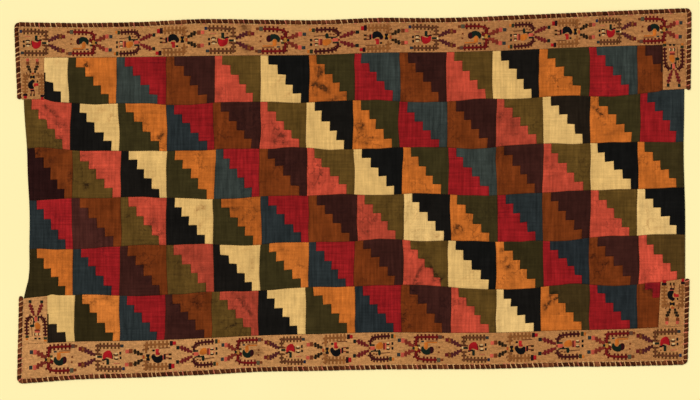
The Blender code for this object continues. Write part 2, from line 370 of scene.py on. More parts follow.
# Smudges and faded places on the field and the border: darkness is below 0 where the cloth is faded.
smudge = namedtuple("smudge", "x y length width darkness turn", defaults=(0,))
smudges = [smudge(*row) for row in (
    (1140, -354, 26, 22, 0.8), (-1021, 502, 17, 12, 0.75, -50), (-1001, 460, 15, 8, 0.35, -20),
    (-1136, 514, 15, 12, 0.35), (-1182, 345, 15, 7, 0.9, -45), (-1147, 318, 27, 8, 1, -42),
    (-1132, 280, 19, 8, 0.7, -30), (-1101, 260, 19, 10, 0.5, -60), (-1166, 299, 12, 8, 0.4),
    (-1117, 337, 19, 12, 0.3), (-1124, 214, 15, 12, 0.3), (-967, 329, 27, 12, 0.42, 15),
    (-986, 291, 15, 10, 0.3), (-932, 299, 12, 19, 0.2), (-733, 237, 15, 9, 0.9, 45),
    (-744, 222, 15, 8, 0.8, -40), (-779, 322, 31, 8, 0.25), (-729, 191, 12, 12, 0.4),
    (-1209, 161, 15, 12, 0.9), (-1155, 138, 19, 12, 0.8, 25), (-1170, 115, 15, 9, 0.7, -20),
    (-1086, 84, 12, 23, 0.6), (-1117, 172, 23, 10, 0.5), (-1186, 176, 23, 8, 0.6),
    (-1113, 38, 12, 19, 0.3), (-1024, 153, 23, 13, 0.45), (-1036, 126, 12, 12, 0.3),
    (-1021, 34, 15, 8, 0.95, 40), (-1028, 42, 13, 6, 0.8, -45), (-990, 99, 19, 12, 0.25),
    (-771, -100, 19, 27, 0.35), (-740, -146, 19, 12, 0.4, 30), (-863, -77, 10, 7, 0.8),
    (-794, -269, 54, 12, 0.3, 5), (-779, -323, 31, 15, 0.35, 20), (-664, -254, 35, 7, 0.55),
    (-664, -277, 35, 6, 0.5, 2), (-668, -300, 31, 7, 0.5, -3), (-952, -392, 13, 8, 0.7),
    (-925, -411, 19, 6, 0.3, 10), (-126, 471, 21, 8, 1.2, 65), (-134, 491, 12, 8, 0.8),
    (-134, 425, 35, 10, 1.25, -16), (-103, 406, 23, 9, 0.9, -30), (-73, 372, 23, 10, 0.9, 10),
    (-149, 391, 19, 12, 0.4), (-138, 521, 15, 15, 0.35), (-518, 395, 19, 23, 0.4),
    (-487, 422, 19, 12, 0.35, 30), (-295, 429, 31, 8, 0.25, 40), (-249, 391, 23, 8, 0.25, 30),
    (-291, 245, 15, 15, 0.85, 50), (-272, 226, 19, 13, 1, 30), (-299, 210, 15, 12, 0.85, -30),
    (-257, 203, 15, 10, 0.7), (-318, 283, 15, 19, 0.3), (16, 264, 12, 15, 0.55), (8, 214, 15, 9, 0.5),
    (-410, 76, 27, 8, 0.45, 8), (-433, 99, 15, 8, 0.3), (-595, -50, 15, 8, 0.45, 30),
    (-575, -43, 12, 8, 0.4, -30), (-583, -108, 23, 7, 0.35, 40), (-606, -77, 12, 12, 0.2),
    (-460, -50, 27, 8, 0.7, -5), (-426, -93, 23, 6, 0.5, 40), (-372, -62, 12, 35, 0.3),
    (-579, -281, 31, 17, 0.45), (-564, -319, 19, 12, 0.3), (-387, -254, 8, 38, 0.3),
    (-410, -208, 31, 5, 0.25, 10), (-265, -208, 31, 6, 0.35, -5), (-268, -254, 12, 23, 0.25),
    (-602, -407, 19, 27, 0.75, 30), (-572, -377, 19, 12, 0.45), (-418, -415, 31, 6, 1, -62),
    (-395, -446, 31, 6, 0.9, -58), (-441, -392, 23, 6, 0.7, -50), (-380, -400, 27, 6, 0.7, -70),
    (-468, -499, 35, 5, 0.75, 20), (-503, -484, 27, 6, 0.5, 25), (-134, 76, 23, 31, 0.32),
    (-295, 122, 15, 23, 0.35), (-503, 287, 27, 15, 0.3, 20), (-480, 226, 27, 12, 0.3),
    (35, 264, 12, 23, 0.7), (73, 222, 31, 7, 0.8, -4), (50, 203, 23, 7, 0.6), (104, 191, 19, 8, 0.4),
    (50, -139, 27, 19, 0.45), (81, -89, 27, 15, 0.35), (142, -158, 19, 8, 0.5), (399, -120, 15, 11, 1, 20),
    (388, -146, 19, 9, 0.7), (418, -131, 13, 13, 0.5), (449, -62, 15, 15, 0.2),
    (246, -308, 23, 7, 1.2, 55), (261, -277, 19, 6, 0.9, 50), (300, -277, 31, 6, 1.1, -62),
    (315, -315, 23, 7, 1, 55), (338, -319, 19, 8, 0.8, 60), (250, -334, 23, 8, 0.8, 10),
    (296, -239, 23, 6, 0.6, -30), (227, -254, 15, 23, 0.3), (572, -208, 10, 8, 0.95, 30),
    (584, -246, 19, 7, 0.8, 60), (595, -273, 15, 9, 1, 20), (560, -254, 12, 15, 0.4),
    (562, 302, 15, 31, 0.6), (616, 281, 17, 21, 0.55), (622, 242, 19, 17, 0.5),
    (655, 231, 17, 10, 0.4, -40), (580, 199, 31, 8, 0.25), (230, 126, 23, 19, 0.35),
    (587, 153, 38, 23, 0.3), (234, -365, 19, 12, 0.6, 40), (196, -461, 12, 23, 0.7),
    (219, -499, 15, 12, 0.35), (929, 337, 15, 6, 0.8, -30), (948, 318, 27, 7, 1, -42),
    (956, 283, 23, 5, 0.5, -40), (979, 237, 31, 6, 0.4, 10), (752, 107, 19, 13, 0.5),
    (768, 76, 23, 12, 0.45, 20), (745, 145, 15, 12, 0.35), (779, 118, 12, 15, 0.3),
    (963, -258, 27, 13, 0.75, 15), (940, -292, 19, 12, 0.5), (917, -231, 15, 15, 0.35),
    (752, -411, 27, 8, 1, 60), (764, -377, 19, 7, 1.05, 30), (733, -419, 12, 19, 0.6, 20),
    (779, -392, 19, 8, 0.8, 50), (791, -450, 19, 8, 0.35, 30), (749, 441, 27, 8, 0.3, 10),
    (795, 422, 23, 8, 0.25), (1167, -123, 27, 6, 0.35, 5), (1132, -93, 8, 31, 0.25),
    (1125, -35, 6, 27, 0.25), (319, -154, 12, 10, 0.5), (104, -334, 23, 12, 0.3), (449, 368, 19, 8, 0.2),
    (-529, 514, 19, 12, 0.3), (-31, 387, 15, 12, 0.5), (-971, -116, 35, 19, 0.2), (-414, 648, 17, 13, 1.1),
    (-407, 567, 21, 15, 1), (-364, -599, 19, 14, 0.8),
)]


def halfOf(y):
    return "upper" if y > 0 else "lower"


def sideOf(x):
    return "left" if x < 0 else "right"


def smudgeAt(x, y):
    return sum(mark.darkness * creaseShape(mark, x / mm, y / mm) for mark in smudges)


def rowSeamHeight(seam, x):
    if seam == 0:
        return upperSeam(x) - 2 * seamGap
    if seam == patch["rows"]:
        return lowerSeam(x) + 2 * seamGap
    heights = rowSeams[seam - 1]
    position = (x / mm - squareMiddles["first"]) / squareMiddles["pitch"]
    i = min(max(int(position), 0), len(heights) - 2)
    height = between(heights[i], heights[i + 1], min(max(position - i, -0.2), 1.2)) * mm
    half = {1: "upper", patch["rows"] - 1: "lower"}.get(seam)
    if half is None:
        return height
    # beside a border tab the seam runs into the tab's free end
    side = sideOf(x)
    end = tabEnds[half, side](x)
    innerX = abs(tabInner[half, side](end))
    atTab = end - outwards[half] * 2 * seamGap
    return between(height, atTab, smoothShare((abs(x) - innerX) / (patch["tabRun"] * mm) + 1))


# How far a place is from the edge of the field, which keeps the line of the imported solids.
def insideField(x, y):
    half, side = halfOf(y), sideOf(x)
    fromTab = max(abs(tabInner[half, side](y)) - abs(x), outwards[half] * (tabEnds[half, side](x) - y))
    return max(min(fromTab, x - fieldLeft(y), fieldRight(y) - x, upperSeam(x) - y, y - lowerSeam(x)), 0.0)


# The seams wander a little, as hand sewn ones do.
def wandered(x, y):
    free = smoothShare(insideField(x, y) / (patch["fixedEdge"] * mm))
    shift = [0.0, 0.0]
    for often, reach, seed in patch["wander"]:
        for axis in (0, 1):
            place = Vector((x * often, y * often, seed + 40 * axis))
            shift[axis] += free * reach * mm * noise.noise(place)
    return x + shift[0], y + shift[1]


# A square's place: its own shares from 0 to 1, across and up, turned into x and y.
def squarePlacer(row, column):
    start, widths = patchRows[row]
    left = (start + sum(widths[:column])) * mm
    right = left + widths[column] * mm
    nextToTab = row in (0, patch["rows"] - 1)

    def placeAt(across, up):
        roughX = between(left, right, across)
        y = between(rowSeamHeight(row + 1, roughX), rowSeamHeight(row, roughX), up)
        low = left if column > 0 or nextToTab else fieldLeft(y)
        high = right if column < patch["columns"] - 1 or nextToTab else fieldRight(y)
        x = between(low, high, across)
        return wandered(x, between(rowSeamHeight(row + 1, x), rowSeamHeight(row, x), up))

    return placeAt


# Moves the lines of a stepped diagonal a little, the same way for both halves of a square.
def unevenSteps(count, raised=0.0):
    largest, raised = (value / squareMiddles["pitch"] for value in (patch["unevenStep"], raised))
    shifts = [0.0] + [raised + random.uniform(-largest, largest) for _ in range(count - 1)] + [0.0]

    def moved(share):
        i = min(int(share * count), count - 1)
        return share + between(shifts[i], shifts[i + 1], share * count - i)

    return moved


# Adds a rim as wide as a seam inside the edge of a net, so that the edge can be turned down.
def insetEdge(bm, width):
    bmesh.ops.inset_region(bm, faces=bm.faces, thickness=width, use_boundary=True, use_even_offset=True)


def cutAcross(bm, place, normal, clearOuter=False):
    bmesh.ops.bisect_plane(bm, geom=[*bm.verts, *bm.edges, *bm.faces], plane_co=place, plane_no=normal,
                           clear_outer=clearOuter)


def dropFaces(bm, faces):
    bmesh.ops.delete(bm, geom=faces, context="FACES")


def appendTo(target, part):
    mesh = bpy.data.meshes.new("part")
    part.to_mesh(mesh)
    target.from_mesh(mesh)
    bpy.data.meshes.remove(mesh)
    part.free()


# One half-square: a grid without the faces of the other half, with its edges turned down.
def halfSquare(lowerLeft, placeAt, movedAcross, movedUp, lot):
    pucker = patch["pucker"]
    bm = bmesh.new()
    lots = bm.verts.layers.float.new("lot")
    marks = bm.verts.layers.float.new("stain")
    bmesh.ops.create_grid(bm, x_segments=patch["gridAcross"], y_segments=patch["gridUp"], size=0.5)
    bmesh.ops.translate(bm, verts=bm.verts, vec=(0.5, 0.5, 0.0))

    def isLowerLeft(face):
        middle = face.calc_center_median()
        return middle.y < 1 - int(middle.x * patch["stepColumns"]) / patch["stepRows"]

    dropFaces(bm, [face for face in bm.faces if isLowerLeft(face) != lowerLeft])
    insetEdge(bm, patch["seamWidth"] / squareMiddles["pitch"])
    for vert in bm.verts:
        across, up = (min(max(share, 0.0), 1.0) for share in vert.co.xy)
        x, y = placeAt(movedAcross(across), movedUp(up))
        fromSeam = min(across, 1 - across, up, 1 - up)
        height = patch["height"] + patch["puff"] * (1 - exp(-fromSeam / patch["puffRun"]))
        bump = noise.noise(Vector((x * pucker["often"], y * pucker["often"], pucker["seed"])))
        height += pucker["height"] * bump * exp(-fromSeam / pucker["run"])
        if vert.is_boundary:
            height -= patch["seamDepth"]
        vert[lots] = lot
        vert[marks] = smudgeAt(x, y)
        vert.co = (x, y, height * mm + clothLift(x, y))
    return bm


# Cuts off what a border tab covers.
def cutAtTab(bm, half, side):
    inner, gap = tabInner[half, side], outwards[side] * 2 * seamGap
    start, end = [Vector((inner(y) - gap, y, 0.0)) for y in tabReach[half, side]]
    normal = Vector((end.y - start.y, start.x - end.x, 0.0)).normalized() * outwards[side]
    cutAcross(bm, start, normal, clearOuter=True)


def linked(name, data):
    thing = bpy.data.objects.new(name, data)
    bpy.context.scene.collection.objects.link(thing)
    return thing


def newPiece(name, bm, material):
    mesh = bpy.data.meshes.new(name)
    bm.to_mesh(mesh)
    bm.free()
    mesh.shade_smooth()
    mesh.materials.append(material)
    piece = linked(name, mesh)
    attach(piece, "root")
    return piece


def giveThickness(piece, thickness):
    solid = piece.modifiers.new("thickness", "SOLIDIFY")
    solid.thickness = thickness * mm
    solid.offset = -1.0
    solid.use_even_offset = False


def dyedWool(name, dye):
    material, tree = newMaterial(name)
    lot = spread(tree, attribute(tree, "lot"), 0.0, 1.0, -1.0, 1.0)
    colour = toneRamp(tree, lot, (0.0, dye.darker), (0.5, dye.usual), (1.0, dye.lighter))
    warp = mottled(tree, (130.0, 9.0, 1.0), 1 - 2.3 * dye.streak, 1 + 2.2 * dye.streak, 3.0)
    wideWarp = mottled(tree, (37.0, 5.0, 5.0), 1 - 1.1 * dye.streak, 1 + dye.streak)
    weft = mottled(tree, (7.0, 150.0, 9.0), 1 - 2.2 * dye.rib, 1 + 2.2 * dye.rib)
    mottle = mottled(tree, (17.0, 15.0, 1.0), 1 - 1.7 * dye.worn, 1 + 1.3 * dye.worn, 4.0, 0.65)
    # thin dark veins where the cloth was crumpled
    ridge = mathNode(tree, "SUBTRACT", noiseValue(tree, (26.0, 22.0, 3.0), 3.0), 0.5)
    vein = spread(tree, mathNode(tree, "ABSOLUTE", ridge, 0.0), 1.0, 0.0, 0.0, 0.032)
    crumpled = spread(tree, noiseValue(tree, (6.0, 6.0, 12.0)), 0.0, 2.8 * dye.worn, 0.46, 0.64)
    fibre = mottled(tree, (520.0, 430.0, 1.0), 0.84, 1.16, 2.0, 0.7)
    yarn = weaveHeight(tree, 1.3)
    # painted shade: the colour darkens in the gaps between the yarns of the weave and lightens a little on
    # their tops
    gaps = spread(tree, yarn, 0.84, 1.05, 0.0, 1.0)
    colour = scaleColour(tree, colour, warp, wideWarp, weft, mottle, fibre, gaps)
    # stains with a ragged edge, and the veins
    ragged = mottled(tree, (75.0, 75.0, 7.0), 0.1, 1.5, 4.0, 0.7)
    ragged = mathNode(tree, "ADD", ragged, product(tree, vein, 0.5))
    stained = product(tree, attribute(tree, "stain"), ragged)
    stained = mathNode(tree, "ADD", stained, product(tree, vein, crumpled, 1.3))
    dark = spread(tree, stained, 0.0, 1.0, 0.04, 0.95)
    colour = blendColour(tree, dark, colour, dye.stained)
    finishWool(tree, colour, yarn, 0.92, 0.5, 0.4 * mm)
    return material


patchMeshes = {name: bmesh.new() for name in dyes}
patchAreas = dict.fromkeys(dyes, 0.0)
for bm in patchMeshes.values():
    bm.verts.layers.float.new("lot")
    bm.verts.layers.float.new("stain")
for row in range(patch["rows"]):
    for column in range(patch["columns"]):
        pair = otherPairs.get((row, column), dyePairs[(column - row) % len(dyePairs)])
        placeAt = squarePlacer(row, column)
        movedAcross = unevenSteps(patch["stepColumns"])
        movedUp = unevenSteps(patch["stepRows"], raisedSteps.get((row, column), 0.0))
        for i, dyeName in enumerate(pair):
            dye = dyes[dyeName]
            lot = random.uniform(-patch["lotSpread"], patch["lotSpread"])
            lot += patch["lotStep"] * (((row, column) in dye.lighterIn) - ((row, column) in dye.darkerIn))
            lowerLeft = (column - row >= turnedFrom) == (i == 0)
            part = halfSquare(lowerLeft, placeAt, movedAcross, movedUp, lot)
            if row in (0, patch["rows"] - 1) and column in (0, patch["columns"] - 1):
                cutAtTab(part, "upper" if row == 0 else "lower", "left" if column == 0 else "right")
            patchAreas[dyeName] += sum(face.calc_area() for face in part.faces)
            appendTo(patchMeshes[dyeName], part)
patchNames = {name: "patches_" + {"darkOlive": "dark_olive"}.get(name, name) for name in dyes}
for dyeName, dye in dyes.items():
    piece = newPiece(patchNames[dyeName], patchMeshes[dyeName], dyedWool(dyeName + "Wool", dye))
    giveThickness(piece, patch["thickness"])
    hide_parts("field")
print("field patches made")


# The border: tan cloth in six pieces

border = {
    "height": 2.4,
    "thickness": 1.4,
    "seamDepth": 0.6,
    "seamWidth": 2.4,
    "meshWidth": 7.0,
    # tone at the left end, tone further right, where the change starts and how long it is, in metres
    "tones": {"upper": (0.45, 0.08, -0.7, 0.8), "lower": (0.88, 0.22, -0.8, 2.0)},
}


# A node's own outline, filled with a fine net: its edge is turned down and lines are cut across.
def clothOver(nodeName):
    bm = bmesh.new()
    bm.from_mesh(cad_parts[nodeName].data)
    bmesh.ops.remove_doubles(bm, verts=bm.verts, dist=0.001 * mm)
    dropFaces(bm, [face for face in bm.faces if face.normal.z < 0.9 or face.calc_center_median().z < mm])
    bmesh.ops.dissolve_faces(bm, faces=bm.faces)
    insetEdge(bm, border["seamWidth"] * mm)
    low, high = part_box(nodeName)
    for axis, normal in enumerate((Vector((1, 0, 0)), Vector((0, 1, 0)))):
        count = ceil((high[axis] - low[axis]) / (border["meshWidth"] * mm))
        for i in range(1, count):
            cutAcross(bm, normal * between(low[axis], high[axis], i / count), normal)
    bmesh.ops.triangulate(bm, faces=[face for face in bm.faces if len(face.verts) > 4])
    marks = bm.verts.layers.float.new("stain")
    tones = bm.verts.layers.float.new("tone")
    for vert in bm.verts:
        x, y = vert.co.xy
        vert[marks] = smudgeAt(x, y)
        left, right, start, run = border["tones"][halfOf(y)]
        vert[tones] = between(left, right, smoothShare((x - start) / run))
        height = border["height"] - (border["seamDepth"] if vert.is_boundary else 0.0)
        vert.co.z = height * mm + clothLift(x, y)
    return bm


def tanWool():
    material, tree = newMaterial("tanWool")
    colour = toneRamp(tree, attribute(tree, "tone"), (0.0, (174, 116, 67)), (0.5, (185, 127, 73)),
                      (1.0, (200, 142, 86)))
    broad = mottled(tree, (4.2, 6.0, 2.0), 0.91, 1.09, 3.0)
    warp = mottled(tree, (26.0, 190.0, 1.0), 0.82, 1.16, 3.0)
    mottle = mottled(tree, (85.0, 95.0, 1.0), 0.66, 1.32, 4.0, 0.7)
    fibre = mottled(tree, (330.0, 330.0, 1.0), 0.74, 1.24, 3.0, 0.7)
    yarn = weaveHeight(tree, 1.4)
    # painted shade: the colour darkens in the gaps between the yarns of the weave and lightens a little on
    # their tops
    gaps = spread(tree, yarn, 0.82, 1.05, 0.0, 1.0)
    colour = scaleColour(tree, colour, broad, warp, mottle, fibre, gaps)
    ragged = mottled(tree, (70.0, 70.0, 7.0), 0.3, 1.6, 4.0, 0.65)
    dark = spread(tree, product(tree, attribute(tree, "stain"), ragged), 0.0, 0.85, 0.0, 1.0)
    colour = blendColour(tree, dark, colour, (84, 48, 22))
    finishWool(tree, colour, yarn, 0.92, 0.55, 0.45 * mm)
    return material


borderCloth = tanWool()
borderPieces = {}
for half in halves:
    for nodeName in (f"border_band_{half}", *(tabNames[half, side] for side in sides)):
        bm = clothOver(nodeName)
        area = sum(face.calc_area() for face in bm.faces)
        low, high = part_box(nodeName)
        length = high[0] - low[0] if "band" in nodeName else high[1] - low[1]
        piece = newPiece(nodeName.replace("border_", "cloth_"), bm, borderCloth)
        giveThickness(piece, border["thickness"])
        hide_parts(nodeName)
        borderPieces[nodeName] = (piece, (area / length, length))
print("border cloth made")


def pointBetween(start, end, share):
    return between(start[0], end[0], share), between(start[1], end[1], share)


# Points at even steps along a line.
def resampled(points, step):
    lengths = [0.0]
    for a, b in zip(points, points[1:]):
        lengths.append(lengths[-1] + hypot(b[0] - a[0], b[1] - a[1]))
    count = round(lengths[-1] / step)
    line = []
    i = 0
    for k in range(count + 1):
        place = lengths[-1] * k / count
        while i < len(points) - 2 and lengths[i + 1] < place:
            i += 1
        share = (place - lengths[i]) / (lengths[i + 1] - lengths[i])
        line.append(pointBetween(points[i], points[i + 1], share))
    return line


# The direction that points to the left of a line at one of its points.
def sideways(line, i):
    before, after = line[max(i - 1, 0)], line[min(i + 1, len(line) - 1)]
    reach = hypot(after[0] - before[0], after[1] - before[1]) or 1.0
    return (before[1] - after[1]) / reach, (after[0] - before[0]) / reach


# A place beside a line: out to the left of one of its points, and ahead along it.
def beside(line, i, out, ahead=0.0):
    sideX, sideY = sideways(line, i)
    return line[i][0] + sideX * out + sideY * ahead, line[i][1] + sideY * out - sideX * ahead


# A grid bent into a tube with closed ends. setVert moves each vertex, from its place along the tube
# and its turn round it, and closeness is the distance at which vertices are joined.
def closedTube(count, sides, closeness, setVert, layer=None):
    bm = bmesh.new()
    lots = bm.verts.layers.float.new(layer) if layer else None
    bmesh.ops.create_grid(bm, x_segments=count, y_segments=sides, size=0.5)
    for vert in bm.verts:
        vert.co, lot = setVert(round((vert.co.x + 0.5) * count), (vert.co.y + 0.5) * 2 * pi)
        if layer:
            vert[lots] = lot
    bmesh.ops.remove_doubles(bm, verts=bm.verts, dist=closeness)
    bmesh.ops.holes_fill(bm, edges=[edge for edge in bm.edges if edge.is_boundary], sides=sides * 2)
    bmesh.ops.recalc_face_normals(bm, faces=bm.faces)
    return bm


# Yarn: closed, slightly raised shapes that follow the cloth under them

yarn = {
    "sink": 0.9,
    "raise": 0.75,
    "edge": 0.7,
    "upright": 0.45,  # the share of the raised side that stands upright, before it leans in
    "tubeBase": 0.05,
    "tubeFlat": 0.3,  # how far a tube goes below its base, as a share of what it rises
    "tubeSides": 6,
    "tubeStep": 6.0,
    "toothRoot": 0.92,  # how wide a tooth is at the stem, as a share of its end
    "firstBar": 0.4,  # how tall the first bar of a leaf is, as a share of the others
    "shortBars": 0.45,  # the share of a leaf over which its bars grow
}


# A flattened closed tube of yarn along points of the plane.
def softTube(points, width):

    def setVert(i, turn):
        x, y = beside(points, i, cos(turn) * width / 2)
        return (x, y, yarn["tubeBase"] + max(sin(turn), -yarn["tubeFlat"]) * yarn["raise"]), None

    return closedTube(len(points) - 1, yarn["tubeSides"], 0.01, setVert)


# A closed raised shape with the given outline and a softened upper edge.
def softShape(points):
    upright = yarn["upright"] * yarn["raise"]
    bm = bmesh.new()
    face = bm.faces.new([bm.verts.new((x, y, -yarn["sink"])) for x, y in points])
    face.normal_update()
    if face.normal.z < 0:
        face.normal_flip()
    top = bmesh.ops.extrude_face_region(bm, geom=[face])["geom"]
    topVerts = [item for item in top if isinstance(item, bmesh.types.BMVert)]
    bmesh.ops.translate(bm, verts=topVerts, vec=(0.0, 0.0, yarn["sink"] + upright))
    topFaces = [item for item in top if isinstance(item, bmesh.types.BMFace)]
    bmesh.ops.inset_region(bm, faces=topFaces, thickness=yarn["edge"], depth=yarn["raise"] - upright)
    bmesh.ops.recalc_face_normals(bm, faces=bm.faces)
    return bm


# A short padded block of stitches with its corners cut off.
def softBlock(x, y, width, height):
    across, up, edge = width / 2, height / 2, yarn["edge"]
    corners = [(edge - across, -up), (across - edge, -up), (across, edge - up), (across, up - edge),
               (across - edge, up), (edge - across, up), (-across, up - edge), (-across, edge - up)]
    return softShape([(x + a, y + b) for a, b in corners])


def ellipse(x, y, width, height, count=14):
    turns = [2 * pi * i / count for i in range(count)]
    return [(x + width / 2 * cos(turn), y + height / 2 * sin(turn)) for turn in turns]


# Points along a bent line, close enough together to follow the cloth.
def alongLine(points):
    line = [points[0]]
    for start, end in zip(points, points[1:]):
        count = max(1, round(hypot(end[0] - start[0], end[1] - start[1]) / yarn["tubeStep"]))
        line += [pointBetween(start, end, i / count) for i in range(1, count + 1)]
    return line


# Embroidered motifs: a flower seen from the side, two leaves below it and a bird inside it.
# In a motif's own plane, x runs from the open end of the flower to the tips of the leaves.
# block, oval: yarn, place, width, height; ring: also its thickness. blocks: yarn, width, height, places.
# shape: yarn, outline. line: yarn, width, points. A row with more than one line sews each of them.
# fern: yarns of stem and teeth, width of the stem, where its teeth start and end beside it, their
# width and pitch, points. leaf: yarns of spine and bars, width of the spine, height, width and pitch
# of its bars, points.

